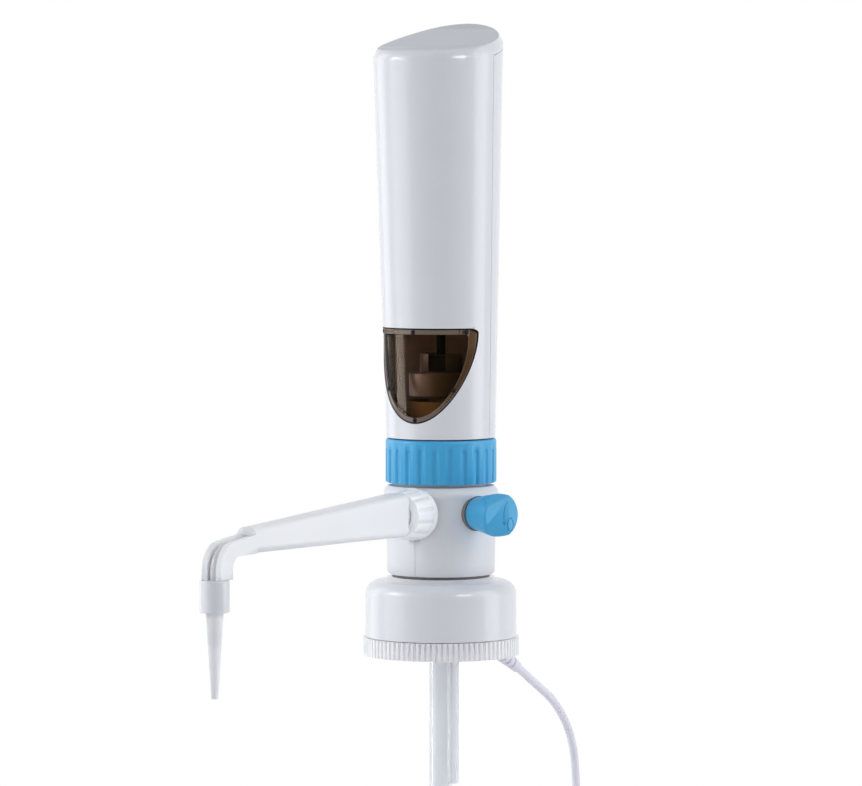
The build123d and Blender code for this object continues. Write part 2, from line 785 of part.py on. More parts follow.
def discharge_nut():
    """The fluted union nut that holds the discharge arm on the valve block."""
    length = nut_rear_y - nut_front_y
    shoulder = nut_rear_y - 3.0
    body = along_front(nut_rear_r - 0.4, nut_rear_y, shoulder)
    cone = Cone(nut_rear_r - 0.6, nut_front_r, shoulder - nut_front_y, align=upright)
    body += Pos(0, shoulder, outlet_axis_z) * Rot(90, 0, 0) * cone
    front = body.edges().filter_by(GeomType.CIRCLE).sort_by(Axis.Y)[0]
    body = fillet(front, 0.6)
    lean = Rot(0, -math.degrees(math.atan((nut_rear_r - nut_front_r) / length)), 0)
    flute = Pos(nut_rear_r + nut_flute_r / 2, 0, 0) * lean * Cylinder(nut_flute_r, length, align=upright)
    for step in range(nut_flutes):
        turn = Rot(90, 0, 0) * Rot(0, 0, (step + 0.5) * 360 / nut_flutes)
        body -= Pos(0, nut_rear_y - 2.4, outlet_axis_z) * turn * flute
    inner = spigot_r + free_gap
    lip_y = spigot_front_y - root_flange - free_gap
    body -= along_front(inner, nut_rear_y + 1, lip_y)
    return body - along_front(root_neck_r + free_gap, nut_rear_y + 1, nut_front_y - 1)


def arm_wedge():
    """The straight part of the arm: rounded box sections that shrink towards the bend."""
    sections = []
    for y, low, high, wide in ((arm_rear_y, arm_bottom_z, arm_top_z, arm_width),
                               (arm_tip_y, arm_tip_bottom_z, arm_tip_top_z, arm_tip_width)):
        outline = RectangleRounded(wide, high - low, arm_edge_r)
        sections.append(Plane((0, y, (low + high) / 2), x_dir=(1, 0, 0), z_dir=(0, -1, 0)) * outline)
    wedge = loft(sections, ruled=True)
    heel = wedge.edges().filter_by(lambda e: abs(e.center().Y - arm_rear_y) < 0.1)
    return fillet(heel, arm_heel_r)


def tube_line(grow):
    """The tube's two straight runs near the bend, in the YZ plane, moved outward by grow."""
    slope = (outlet_axis_z - bend_corner_z) / (dip_start_y - nozzle_y)
    start_z = outlet_axis_z - slope * (dip_start_y - arm_tip_y - 1)
    return (arm_tip_y + 1, start_z + grow), (nozzle_y - grow, bend_corner_z + grow)


def above_collar():
    block = Box(8 * collar_r, 16 * collar_r, 16 * collar_r, align=(Align.CENTER, Align.CENTER, Align.MIN))
    return Pos(0, nozzle_y, collar_top_z) * block


def rounded(outline, point, radius):
    """The outline with its corner at point rounded."""
    return fillet(outline.vertices().sort_by_distance((*point, 0))[0], radius)


def arm_bend():
    """The bend round to the nozzle, from the wedge's thin end down to the collar."""
    grow = tube_r + rib_proud
    start, corner = tube_line(grow)
    inner = nozzle_y + inner_bend_y, arm_tip_bottom_z
    outline = make_face(Polyline(
        start, corner, (corner[0], collar_top_z), (inner[0], collar_top_z), inner,
        (arm_tip_y + 1, arm_tip_bottom_z), close=True))
    outline = rounded(rounded(outline, corner, bend_r + grow), inner, inner_bend_r)
    return extrude(Plane.YZ * outline, arm_tip_width / 2, both=True)


def tube_path(start_y, end_z):
    return FilletPolyline(
        (0, start_y, outlet_axis_z), (0, dip_start_y, outlet_axis_z), (0, nozzle_y, bend_corner_z),
        (0, nozzle_y, end_z), radius=[dip_r, bend_r])


def discharge_arm():
    arm = arm_wedge() + arm_bend()
    arm += Pos(0, nozzle_y, 0) * disc(collar_r - collar_wall, collar_top_z - spigot_length, collar_top_z)
    arm += along_front(root_flange_r, spigot_front_y, spigot_front_y - root_flange)
    arm += along_front(root_neck_r, spigot_front_y - 1, arm_rear_y - 1)
    start = spigot_front_y + 1
    bore = Plane((0, start, outlet_axis_z), z_dir=(0, -1, 0)) * Circle(tube_r + mould_gap / 2)
    arm -= sweep(bore, path=tube_path(start, 0))
    return arm - bend_channel()


def bend_channel():
    """The open channel round the outside of the bend, a tube's width across."""
    start, corner = tube_line(0)
    far = 4 * bend_r
    outline = make_face(Polyline(
        (arm_tip_y, start[1]), corner, (nozzle_y, collar_top_z), (nozzle_y - far, collar_top_z),
        (nozzle_y - far, start[1] + far), (arm_tip_y, start[1] + far), close=True))
    return extrude(Plane.YZ * rounded(outline, corner, bend_r), tube_r + mould_gap / 2, both=True)


def discharge_tube():
    start = spigot_front_y - 0.6
    section = Circle(tube_r) - Circle(tube_bore_r)
    profile = Plane((0, start, outlet_axis_z), z_dir=(0, -1, 0)) * section
    return sweep(profile, path=tube_path(start, tube_end_z))


def nozzle_collar():
    collar = disc(collar_r, collar_bottom_z, collar_top_z)
    collar = fillet(collar.edges().filter_by(GeomType.CIRCLE), 0.4)
    collar -= disc(collar_r - collar_wall + running_gap, collar_bottom_z + collar_floor, collar_top_z + 1)
    collar -= disc(tip_root_r + running_gap, collar_bottom_z - 1, collar_top_z)
    return Pos(0, nozzle_y, 0) * collar


def nozzle_tip():
    shoulder_top = collar_top_z - spigot_length - mould_gap
    body = Cone(tip_end_r, tip_root_r, collar_bottom_z - 0.0, align=upright)
    body += disc(tip_root_r, collar_bottom_z - 0.5, shoulder_top)
    body -= disc(tube_r + mould_gap / 2, tube_end_z - 0.5, shoulder_top + 1)
    body -= Cone(tip_bore_end_r, tip_bore_top_r, tube_end_z, align=upright)
    return Pos(0, nozzle_y, 0) * body


def recirculation_knob():
    """A flared key grip: a cone cut to a narrow thumb edge by two slanted flats."""
    length = knob_end - knob_root
    grip = Cone(knob_root_r, knob_grip_r, length, align=upright)
    grip = fillet(grip.edges().filter_by(GeomType.CIRCLE).sort_by(Axis.Z)[-1], 0.8)
    for side, inner_face in ((-1, Align.MAX), (1, Align.MIN)):
        beside = (Align.CENTER, inner_face, Align.CENTER)
        cutter = Box(6 * knob_grip_r, 2 * knob_grip_r, 6 * knob_grip_r, align=beside)
        place = Pos(thumb_edge_x, side * thumb_edge / 2, length)
        grip -= place * Rot(0, 0, side * flat_splay) * Rot(side * flat_tilt, 0, 0) * cutter
    knob = knob_plane * Pos(0, 0, knob_root) * grip
    return knob - along_knob(key_r, knob_root - 1, knob_root + key_length)


def valve_spindle():
    """The turning key of the recirculation valve, with its cross port over the drain."""
    spindle = along_knob(spindle_r, spindle_root, knob_root)
    spindle += along_knob(key_r - slip_gap, knob_root - 1, knob_root + key_length - mould_gap)
    port = knob_plane * Pos(0, 0, return_offset) * Rot(90, 0, 0) * Cylinder(return_bore_r, 4 * spindle_r)
    return spindle - port - along_knob(cross_port_r, 0, return_offset)


def knob_ring():
    ring = along_knob(knob_ring_r, core_r + 0.6, knob_root - free_gap)
    return ring - along_knob(spindle_r + free_gap, core_r - 1, 30)


def filling_tube_upper():
    return pipe(filling_r, filling_bore_r, filling_upper_end_z, seat_z + 9.8)


def filling_tube_lower():
    tube = pipe(filling_lower_r, filling_lower_bore_r, filling_end_z, filling_lower_top_z)
    slant = Box(20, 20, 20, align=(Align.CENTER, Align.CENTER, Align.MAX))
    return tube - Pos(0, 0, filling_end_z + filling_lower_r) * Rot(0, 45, 0) * slant


def return_tube():
    drain_x, drain_y = (return_offset * way for way in knob_way)
    return Pos(drain_x, drain_y) * pipe(return_r, return_bore_r, return_end_z, seat_z + 7.8)


def relief_tip():
    way = outlet_place() * Pos(0, 0, relief_length - cable_start)
    end = outlet_place() * Pos(0, 0, relief_length + 5)
    return tuple(way.position), tuple(end.position)


def corner_radii(points):
    """As large as the runs beside each corner allow: 0.45 of the shorter over tan(half turn)."""
    radii = []
    for before, here, after in zip(points, points[1:], points[2:]):
        into = Vector(*here) - Vector(*before)
        out = Vector(*after) - Vector(*here)
        half = math.radians(into.get_angle(out)) / 2
        radii.append(0.45 * min(into.length, out.length) / math.tan(half))
    return radii


def coil_outer_turn():
    """Where the coil's outermost turn runs towards the back, on its +X side."""
    return coil_centre[0] + coil_mean_r + cable_d * (coil_turns_wide - 1) / 2, coil_centre[1]


def cable():
    start, lead = relief_tip()
    outer_x, coil_y = coil_outer_turn()
    cable_z = bench_z + cable_d / 2
    points = [start, lead, *cable_points, (outer_x, coil_y - 1.0, cable_z)]
    radii = corner_radii(points)
    print("cable corner radii:", [round(r, 1) for r in radii])
    path = FilletPolyline(*points, radius=radii)
    way = Vector(*points[1]) - Vector(*points[0])
    main = sweep(Plane(points[0], z_dir=way) * Circle(cable_d / 2), path=path)
    section = math.pi * (cable_d / 2) ** 2
    print("cable length", round(path.length, 1), "volume ratio", round(main.volume / (section * path.length), 4))
    tail_start = Vector(outer_x, coil_y + coil_tail_from, bench_z + (coil_layers - 0.5) * cable_d - 0.4)
    tail_end = Vector(outer_x, coil_y + plug_from, bench_z + plug_r)
    way = tail_end - tail_start
    tail = Plane(tuple(tail_start), z_dir=way) * Cylinder(cable_d / 2, way.length, align=upright)
    inside_plug = Box(plug_length, plug_length, plug_length, align=(Align.CENTER, Align.MIN, Align.CENTER))
    tail -= Pos(*tail_end) * inside_plug
    return Compound(children=[Part(main.wrapped), Part(tail.wrapped)])


def cable_coil():
    wide = coil_turns_wide * cable_d
    tall = coil_layers * cable_d
    ring = pipe(coil_mean_r + wide / 2, coil_mean_r - wide / 2, bench_z, bench_z + tall)
    ring = fillet(ring.edges().filter_by(GeomType.CIRCLE), cable_d / 2 - 0.1)
    return Pos(*coil_centre) * ring


def cable_plug():
    outer_x, coil_y = coil_outer_turn()
    grip = Cone(cable_d / 2 + 0.9, plug_r, 6, align=upright)
    grip += Pos(0, 0, 6) * Cylinder(plug_r, plug_length - 6, align=upright)
    barrel = Cylinder(plug_barrel_r, plug_barrel_length, align=upright)
    grip += Pos(0, 0, plug_length) * barrel
    grip -= Pos(0, 0, plug_length + 1) * Cylinder(1.1, 20, align=upright)
    place = Pos(outer_x, coil_y + plug_from, bench_z + plug_r)
    return place * Rot(-90, 0, 0) * grip


def write(name, shape):
    export_step(shape, f"parts/{name}.step")


def main():
    os.makedirs("parts", exist_ok=True)
    builders = [
        tower_front_shell, tower_rear_cover, window_seal, window_lens, window_stakes,
        rear_cover_screws, motor_bracket, bracket_screws, linear_motor, rotor_nut, lead_screw,
        rod_head, guide_rods, guide_carriage, control_board, drive_coupling, piston_disc,
        piston_rod, piston_seal, cylinder_jacket, glass_cylinder, cylinder_carrier, union_ring,
        valve_core, intake_seat, intake_ball, discharge_ball, ball_stop, valve_spindle,
        recirculation_knob, knob_ring, discharge_nut, discharge_arm, discharge_tube,
        nozzle_collar, nozzle_tip, base_housing, bottle_seat, seat_gasket, thread_ring,
        filling_tube_upper, filling_tube_lower, return_tube, strain_relief, cable, cable_coil,
        cable_plug,
    ]
    for builder in builders:
        write(builder.__name__, builder())
    write("valve_block_left", valve_block_half(-1))
    write("valve_block_right", valve_block_half(1))


main()
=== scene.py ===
import bmesh
import bpy
import json
import math
from mathutils import Matrix, Vector


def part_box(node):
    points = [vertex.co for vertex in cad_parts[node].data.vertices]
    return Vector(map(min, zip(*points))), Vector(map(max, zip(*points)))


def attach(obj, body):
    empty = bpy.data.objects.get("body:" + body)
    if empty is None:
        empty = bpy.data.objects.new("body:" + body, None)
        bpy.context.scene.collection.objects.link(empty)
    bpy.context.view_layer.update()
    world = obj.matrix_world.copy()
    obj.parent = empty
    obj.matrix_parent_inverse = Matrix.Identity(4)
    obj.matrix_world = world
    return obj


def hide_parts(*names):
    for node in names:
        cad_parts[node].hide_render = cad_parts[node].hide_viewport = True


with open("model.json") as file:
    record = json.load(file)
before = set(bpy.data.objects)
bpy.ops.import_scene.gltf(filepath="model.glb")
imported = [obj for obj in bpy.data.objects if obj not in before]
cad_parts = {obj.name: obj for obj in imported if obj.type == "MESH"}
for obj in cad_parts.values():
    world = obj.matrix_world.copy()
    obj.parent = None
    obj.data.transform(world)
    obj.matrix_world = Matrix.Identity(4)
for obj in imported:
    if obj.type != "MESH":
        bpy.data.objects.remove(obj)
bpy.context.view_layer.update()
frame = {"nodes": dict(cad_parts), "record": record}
mm = 0.001
nodeBodies = {n: b for b, nodes in frame["record"]["behaviour"]["bodies"].items() for n in nodes}

viewSetup = {
    "azimuth": 28.5,        # degrees from the front towards the knob side
    "elevation": 2.97,
    "distance": 1.6,
    "lens": 190.9,
    "sensorWidth": 36,
    "clipStart": 0.05,
    "aimHeight": 91.6 * mm,
    "aimSide": -3.5 * mm,   # along the camera's own right
}


def wayOut(azimuth, elevation):
    turn, lift = math.radians(azimuth), math.radians(elevation)
    return Vector((math.sin(turn) * math.cos(lift), -math.cos(turn) * math.cos(lift), math.sin(lift)))


def newObject(name, data):
    piece = bpy.data.objects.new(name, data)
    bpy.context.collection.objects.link(piece)
    return piece


def addNode(tree, kind, settings=None, values=None, links=None):
    node = tree.nodes.new(kind)
    for name, value in (settings or {}).items():
        setattr(node, name, value)
    for name, value in (values or {}).items():
        node.inputs[name].default_value = value
    for name, source in (links or {}).items():
        tree.links.new(source, node.inputs[name])
    return node


def addCamera():
    turn = math.radians(viewSetup["azimuth"])
    right = Vector((math.cos(turn), math.sin(turn), 0))
    outward = wayOut(viewSetup["azimuth"], viewSetup["elevation"])
    aim = right * viewSetup["aimSide"] + Vector((0, 0, viewSetup["aimHeight"]))
    data = bpy.data.cameras.new("camera")
    data.lens = viewSetup["lens"]
    data.sensor_width = viewSetup["sensorWidth"]
    data.clip_start = viewSetup["clipStart"]
    camera = newObject("camera", data)
    camera.location = aim + outward * viewSetup["distance"]
    camera.rotation_euler = outward.to_track_quat("Z", "Y").to_euler()
    bpy.context.scene.camera = camera


# Each panel: degrees round from the front and up, metres away and across, watts.
# A glossOnly one shows in reflections alone, only lists the nodes that one lights,
# and through lists those that don't shade it.
lamps = {
    "leftPanel": {"azimuth": -48, "lift": 14, "distance": 1.1, "size": (0.8, 1.3), "power": 5.5},
    "leftEdge": {"azimuth": -95, "lift": 10, "distance": 1.2, "size": (0.5, 1.3), "power": 2.6},
    "rightPanel": {"azimuth": 112, "lift": 16, "distance": 1.1, "size": (0.6, 1.2), "power": 5.6},
    "topPanel": {"azimuth": 20, "lift": 78, "distance": 1.2, "size": (0.7, 0.7), "power": 0.7},
    # soft boxes that give the edges their bright spots
    "leftGlint": {"azimuth": -54, "lift": 24, "distance": 1.1, "size": (0.3, 0.26), "power": 2.6,
                  "glossOnly": True},
    "rightGlint": {"azimuth": 68, "lift": 30, "distance": 1.1, "size": (0.42, 0.26), "power": 3.6,
                   "glossOnly": True},
    "windowStrip": {"azimuth": -62, "lift": -2, "distance": 1.1, "size": (0.46, 1.2), "power": 95.0,
                    "tint": (1.0, 0.83, 0.69), "glossOnly": True, "only": ["window_lens"]},
    # light that reaches the drive behind the window, coloured to make up for the lens
    "driveKick": {"azimuth": -70, "lift": 6, "distance": 1.1, "size": (0.24, 0.6), "power": 27.0,
                  "tint": (0.68, 0.68, 1.0), "only": ["drive_coupling", "piston_disc"],
                  "through": ["window_lens", "tower_front_shell", "window_seal"]},
    # a white card beside the arm
    "armCard": {"azimuth": 62, "lift": 8, "distance": 1.1, "size": (0.5, 0.5), "power": 2.7,
                "tint": (0.93, 0.96, 1.0),
                "only": ["discharge_arm", "discharge_tube", "nozzle_tip", "discharge_nut"]},
}
lampAim = 0.1           # metres up the object
plainTint = (1.0, 1.0, 1.0)


def nodesNamed(name, nodes):
    group = bpy.data.collections.new(name)
    for node in nodes:
        group.objects.link(pieces[node])
    return group


def addLamps():
    centre = Vector((0, 0, lampAim))
    for name, lamp in lamps.items():
        way = wayOut(lamp["azimuth"], lamp["lift"])
        data = bpy.data.lights.new(name, "AREA")
        data.shape = "RECTANGLE"
        data.size, data.size_y = lamp["size"]
        data.energy = lamp["power"]
        data.color = lamp.get("tint", plainTint)
        panel = newObject(name, data)
        panel.location = centre + way * lamp["distance"]
        panel.rotation_euler = way.to_track_quat("Z", "Y").to_euler()
        if lamp.get("glossOnly"):
            panel.visible_diffuse = False
            panel.visible_transmission = False
        if "only" in lamp:
            panel.light_linking.receiver_collection = nodesNamed(name, lamp["only"])
        if "through" in lamp:
            passed = nodesNamed(name + "Passes", lamp["through"])
            for entry in passed.collection_objects:
                entry.light_linking.link_state = "EXCLUDE"
            panel.light_linking.blocker_collection = passed


def seenDirectly(tree):
    # 1 for what the camera sees straight on, in gloss or through glass
    path = addNode(tree, "ShaderNodeLightPath")
    bare = addNode(tree, "ShaderNodeMath", {"operation": "MAXIMUM"}, None,
                   {0: path.outputs["Is Camera Ray"], 1: path.outputs["Is Glossy Ray"]})
    seen = addNode(tree, "ShaderNodeMath", {"operation": "MAXIMUM"}, None,
                   {0: bare.outputs[0], 1: path.outputs["Is Transmission Ray"]})
    return seen.outputs[0]


skySetup = {"strength": 0.42, "tint": (0.93, 0.95, 1.0, 1), "seenStrength": 1.0, "seenTint": (1, 1, 1, 1)}


def addSky():
    world = bpy.data.worlds.new("studio")
    world.use_nodes = True
    tree = world.node_tree
    tree.nodes.clear()
    seen = addNode(tree, "ShaderNodeBackground", None,
                   {"Color": skySetup["seenTint"], "Strength": skySetup["seenStrength"]})
    light = addNode(tree, "ShaderNodeBackground", None,
                    {"Color": skySetup["tint"], "Strength": skySetup["strength"]})
    mix = addNode(tree, "ShaderNodeMixShader", None, None,
                  {0: seenDirectly(tree), 1: light.outputs[0], 2: seen.outputs[0]})
    addNode(tree, "ShaderNodeOutputWorld", None, None, {"Surface": mix.outputs[0]})
    bpy.context.scene.world = world


floorSetup = {"height": -0.2055, "radius": 1.0, "sides": 96, "fadeFrom": 0.35, "fadeTo": 0.9,
              "color": (0.93, 0.93, 0.93, 1), "rough": 0.9}


def addFloor():
    mesh = bpy.data.meshes.new("floor")
    build = bmesh.new()
    bmesh.ops.create_circle(build, cap_ends=True, segments=floorSetup["sides"], radius=floorSetup["radius"])
    bmesh.ops.translate(build, vec=(0, 0, floorSetup["height"]), verts=build.verts)
    build.to_mesh(mesh)
    build.free()
    floor = newObject("floor", mesh)
    material = bpy.data.materials.new("floorPaper")
    material.use_nodes = True
    tree = material.node_tree
    shader = tree.nodes["Principled BSDF"]
    shader.inputs["Base Color"].default_value = floorSetup["color"]
    shader.inputs["Roughness"].default_value = floorSetup["rough"]
    # the paper fades to the white of the sky
    glow = addNode(tree, "ShaderNodeEmission")
    place = addNode(tree, "ShaderNodeTexCoord")
    reach = addNode(tree, "ShaderNodeVectorMath", {"operation": "LENGTH"}, None, {0: place.outputs["Object"]})
    fade = addNode(tree, "ShaderNodeMapRange", None,
                   {"From Min": floorSetup["fadeFrom"], "From Max": floorSetup["fadeTo"]},
                   {"Value": reach.outputs["Value"]})
    both = addNode(tree, "ShaderNodeMath", {"operation": "MULTIPLY"}, None,
                   {0: fade.outputs["Result"], 1: seenDirectly(tree)})
    mix = addNode(tree, "ShaderNodeMixShader", None, None,
                  {0: both.outputs[0], 1: shader.outputs[0], 2: glow.outputs[0]})
    tree.links.new(mix.outputs[0], tree.nodes["Material Output"].inputs["Surface"])
    mesh.materials.append(material)


# Each finish: colour and how far it drifts, roughness and its drift, grains per metre and their depth.
# Some have a coat and its roughness, through for clearness, glow for light inside or shine for gloss.
finishes = {
    "whiteShell": {"color": (0.80, 0.815, 0.86), "drift": 0.02, "rough": 0.24, "roughDrift": 0.05,
                   "grain": 900, "depth": 0.02, "coat": 0.25, "coatRough": 0.12},
    # a darker copy of the shell's white, rougher too: the darker colour is painted shade for the tower's top
    # face
    "whiteTopShaded": {"color": (0.72, 0.735, 0.77), "drift": 0.02, "rough": 0.75, "roughDrift": 0.05,
                 "grain": 1600, "depth": 0.05, "shine": 0.1},
    "whiteBlock": {"color": (0.80, 0.815, 0.85), "drift": 0.02, "rough": 0.42, "roughDrift": 0.06,
                   "grain": 1400, "depth": 0.04},
    "whiteCap": {"color": (0.79, 0.81, 0.85), "drift": 0.02, "rough": 0.34, "roughDrift": 0.05,
                 "grain": 900, "depth": 0.02, "coat": 0.4, "coatRough": 0.06},
    # the nut's own white; the thread ring wears it too, and there the brighter colour is painted light
    "whiteNutAndLitRing": {"color": (0.95, 0.955, 0.975), "drift": 0.015, "rough": 0.36, "roughDrift": 0.06,
                 "grain": 1100, "depth": 0.03, "glow": 0.3, "coat": 0.35, "coatRough": 0.12},
    "unionBlue": {"color": (0.055, 0.43, 0.78), "drift": 0.03, "rough": 0.36, "roughDrift": 0.06,
                  "grain": 1200, "depth": 0.03},
    "armClear": {"color": (0.93, 0.95, 1.0), "drift": 0.01, "rough": 0.48, "roughDrift": 0.05,
                 "grain": 700, "depth": 0.015, "through": 0.18, "ior": 1.42, "glow": 0.6,
                 "coat": 0.15, "coatRough": 0.2},
    "tubeWhite": {"color": (0.97, 0.975, 1.0), "drift": 0.01, "rough": 0.25, "roughDrift": 0.05,
                  "grain": 600, "depth": 0.01, "through": 0.4, "ior": 1.38, "glow": 0.3,
                  "coat": 0.5, "coatRough": 0.06},
    "tubeClear": {"color": (0.93, 0.95, 0.98), "drift": 0.01, "rough": 0.1, "roughDrift": 0.03,
                  "grain": 500, "depth": 0.01, "through": 0.75, "ior": 1.38},
    "lensSmoke": {"color": (0.35, 0.24, 0.135), "drift": 0.02, "rough": 0.03, "roughDrift": 0.01,
                  "grain": 400, "depth": 0.004, "through": 1.0, "ior": 1.08},
    # painted light: the paler strip that the lens's thick clear rim shows
    "lensRimLight": {"color": (0.15, 0.11, 0.08), "drift": 0.05, "rough": 0.22, "roughDrift": 0.05,
                 "grain": 600, "depth": 0.01},
    # painted shade in the knob's engraved grooves
    "grooveShadeBlue": {"color": (0.01, 0.13, 0.36), "drift": 0.05, "rough": 0.5, "roughDrift": 0.05,
                 "grain": 1200, "depth": 0.03},
    "sealBlack": {"color": (0.006, 0.006, 0.007), "drift": 0.1, "rough": 0.5, "roughDrift": 0.1,
                  "grain": 1500, "depth": 0.05, "shine": 0.15},
    # dark grey of the knob ring; on the bottle seat the same grey is painted shade for the gap at the base
    # housing
    "ringGreyAndGapShade": {"color": (0.22, 0.20, 0.19), "drift": 0.06, "rough": 0.6, "roughDrift": 0.08,
                 "grain": 1500, "depth": 0.05},
    "discGrey": {"color": (0.18, 0.18, 0.185), "drift": 0.04, "rough": 0.5, "roughDrift": 0.06,
                 "grain": 1200, "depth": 0.03},
    "pistonGrey": {"color": (0.48, 0.46, 0.42), "drift": 0.04, "rough": 0.35, "roughDrift": 0.06,
                   "grain": 1200, "depth": 0.03},
    "fluoroWhite": {"color": (0.84, 0.84, 0.83), "drift": 0.02, "rough": 0.45, "roughDrift": 0.06,
                    "grain": 1200, "depth": 0.04},
    "glassClear": {"color": (0.97, 0.98, 0.98), "drift": 0.0, "rough": 0.02, "roughDrift": 0.01,
                   "grain": 300, "depth": 0.002, "through": 1.0, "ior": 1.47},
    "steelPlain": {"color": (0.60, 0.60, 0.62), "drift": 0.05, "rough": 0.28, "roughDrift": 0.08,
                   "grain": 1800, "depth": 0.03, "metal": 1.0},
    "steelBlack": {"color": (0.004, 0.004, 0.005), "drift": 0.1, "rough": 0.35, "roughDrift": 0.08,
                   "grain": 1800, "depth": 0.04, "shine": 0.2},
    "alloy": {"color": (0.68, 0.69, 0.70), "drift": 0.05, "rough": 0.35, "roughDrift": 0.08,
              "grain": 1500, "depth": 0.03, "metal": 1.0},
    "brassTurned": {"color": (0.72, 0.52, 0.22), "drift": 0.05, "rough": 0.3, "roughDrift": 0.08,
                    "grain": 1500, "depth": 0.03, "metal": 1.0},
    "plasticBlack": {"color": (0.03, 0.03, 0.034), "drift": 0.08, "rough": 0.5, "roughDrift": 0.08,
                     "grain": 1600, "depth": 0.06},
    "boardGreen": {"color": (0.02, 0.16, 0.07), "drift": 0.1, "rough": 0.4, "roughDrift": 0.08,
                   "grain": 2000, "depth": 0.05},
    "ceramicWhite": {"color": (0.90, 0.89, 0.86), "drift": 0.02, "rough": 0.08, "roughDrift": 0.02,
                     "grain": 800, "depth": 0.005},
    "cableWhite": {"color": (0.84, 0.82, 0.92), "drift": 0.02, "rough": 0.42, "roughDrift": 0.06,
                   "grain": 1800, "depth": 0.015},
}
finishBase = {"cloudScale": 60, "cloudDetail": 4, "grainDetail": 2, "grainHeight": 0.2 * mm,
              "glowRadius": (1.0, 1.0, 1.0), "glowDepth": 2.0 * mm}
plainFinish = {"metal": 0.0, "coat": 0.0, "coatRough": 0.1, "ior": 1.45, "through": 0.0, "shine": 0.5}
finishSockets = {"metal": "Metallic", "coat": "Coat Weight", "coatRough": "Coat Roughness", "ior": "IOR",
                 "through": "Transmission Weight", "shine": "Specular IOR Level"}
materials = {}


def makeFinish(name):
    if name in materials:
        return materials[name]
    look = finishes[name]
    material = bpy.data.materials.new(name)
    material.use_nodes = True
    tree = material.node_tree
    shader = tree.nodes["Principled BSDF"]
    place = addNode(tree, "ShaderNodeTexCoord").outputs["Object"]
    cloud = addNode(tree, "ShaderNodeTexNoise", None,
                    {"Scale": finishBase["cloudScale"], "Detail": finishBase["cloudDetail"]},
                    {"Vector": place})
    grain = addNode(tree, "ShaderNodeTexNoise", None,
                    {"Scale": look["grain"], "Detail": finishBase["grainDetail"]}, {"Vector": place})
    low = [c * (1 - look["drift"]) for c in look["color"]]
    high = [min(1, c * (1 + look["drift"])) for c in look["color"]]
    tint = addNode(tree, "ShaderNodeMix", {"data_type": "RGBA"}, {"A": (*low, 1), "B": (*high, 1)},
                   {"Factor": cloud.outputs["Fac"]})
    rough = addNode(tree, "ShaderNodeMapRange", None,
                    {"To Min": max(0.0, look["rough"] - look["roughDrift"]),
                     "To Max": look["rough"] + look["roughDrift"]}, {"Value": cloud.outputs["Fac"]})
    bump = addNode(tree, "ShaderNodeBump", None,
                   {"Strength": look["depth"], "Distance": finishBase["grainHeight"]},
                   {"Height": grain.outputs["Fac"]})
    tree.links.new(tint.outputs["Result"], shader.inputs["Base Color"])
    tree.links.new(rough.outputs["Result"], shader.inputs["Roughness"])
    tree.links.new(bump.outputs["Normal"], shader.inputs["Normal"])
    for part, socket in finishSockets.items():
        shader.inputs[socket].default_value = look.get(part, plainFinish[part])
    if "glow" in look:
        shader.inputs["Subsurface Weight"].default_value = look["glow"]
        shader.inputs["Subsurface Radius"].default_value = finishBase["glowRadius"]
        shader.inputs["Subsurface Scale"].default_value = finishBase["glowDepth"]
    materials[name] = material
    return material


# Which finish each node of the frame wears.
dress = {
    "whiteShell": ["tower_front_shell", "tower_rear_cover"],
    "whiteBlock": ["valve_block_left", "valve_block_right"],
    "whiteCap": ["base_housing", "nozzle_collar"],
    # the thread ring's brighter white is painted light: the ring shows brighter than the base above it only
    # because more light falls on it
    "whiteNutAndLitRing": ["discharge_nut", "thread_ring"],
    "unionBlue": ["union_ring", "recirculation_knob"],
    "armClear": ["discharge_arm", "nozzle_tip"],
    "tubeWhite": ["discharge_tube"],
    "tubeClear": ["filling_tube_upper", "filling_tube_lower", "return_tube"],
    "lensSmoke": ["window_lens"],
    "sealBlack": ["window_seal", "seat_gasket"],
    # on the bottle seat this grey is painted shade, darkening the gap at the base housing
    "ringGreyAndGapShade": ["knob_ring", "bottle_seat"],
    "discGrey": ["piston_disc", "drive_coupling"],
    "pistonGrey": ["cylinder_jacket", "cylinder_carrier"],
    "fluoroWhite": ["piston_rod", "piston_seal", "valve_core", "valve_spindle",
                    "intake_seat", "ball_stop"],
    "glassClear": ["glass_cylinder"],
    "steelPlain": ["guide_rods", "linear_motor"],
    "steelBlack": ["rod_head"],
    "alloy": ["motor_bracket"],
    "brassTurned": ["rotor_nut"],
    "plasticBlack": ["guide_carriage"],
    "boardGreen": ["control_board"],
    "ceramicWhite": ["intake_ball", "discharge_ball"],
    "cableWhite": ["strain_relief", "cable_plug"],
}
mergeDistance = 0.002 * mm
crispAngle = math.radians(28)           # past this an edge of a node's copy stays crisp
smallCrispAngle = math.radians(35)      # the same for what Geometry Nodes make
# the tower's top faces get the darker white, which is painted shade
shadedMatteTop = {"node": "tower_front_shell", "finish": "whiteTopShaded", "above": 0.206, "slope": 0.8}
couplingTurn = {"nodes": ["drive_coupling", "rod_head"], "degrees": 38.5}   # turns the slot to the window


def mergedBuild(mesh):
    build = bmesh.new()
    build.from_mesh(mesh)
    bmesh.ops.remove_doubles(build, verts=build.verts, dist=mergeDistance)
    return build


def smoothCopy(node):
    mesh = frame["nodes"][node].data.copy()
    build = mergedBuild(mesh)
    build.to_mesh(mesh)
    build.free()
    mesh.shade_smooth()
    mesh.set_sharp_from_angle(angle=crispAngle)
    mesh.name = node + "_skin"
    return newObject(node + "_skin", mesh)


def paintTopShade(mesh):
    # the top face wears a darker, rougher copy of the shell's white; the darker colour is painted shade for
    # the top, which takes less light than the sides
    mesh.materials.append(makeFinish(shadedMatteTop["finish"]))
    for face in mesh.polygons:
        if face.center.z > shadedMatteTop["above"] and face.normal.z > shadedMatteTop["slope"]:
            face.material_index = 1


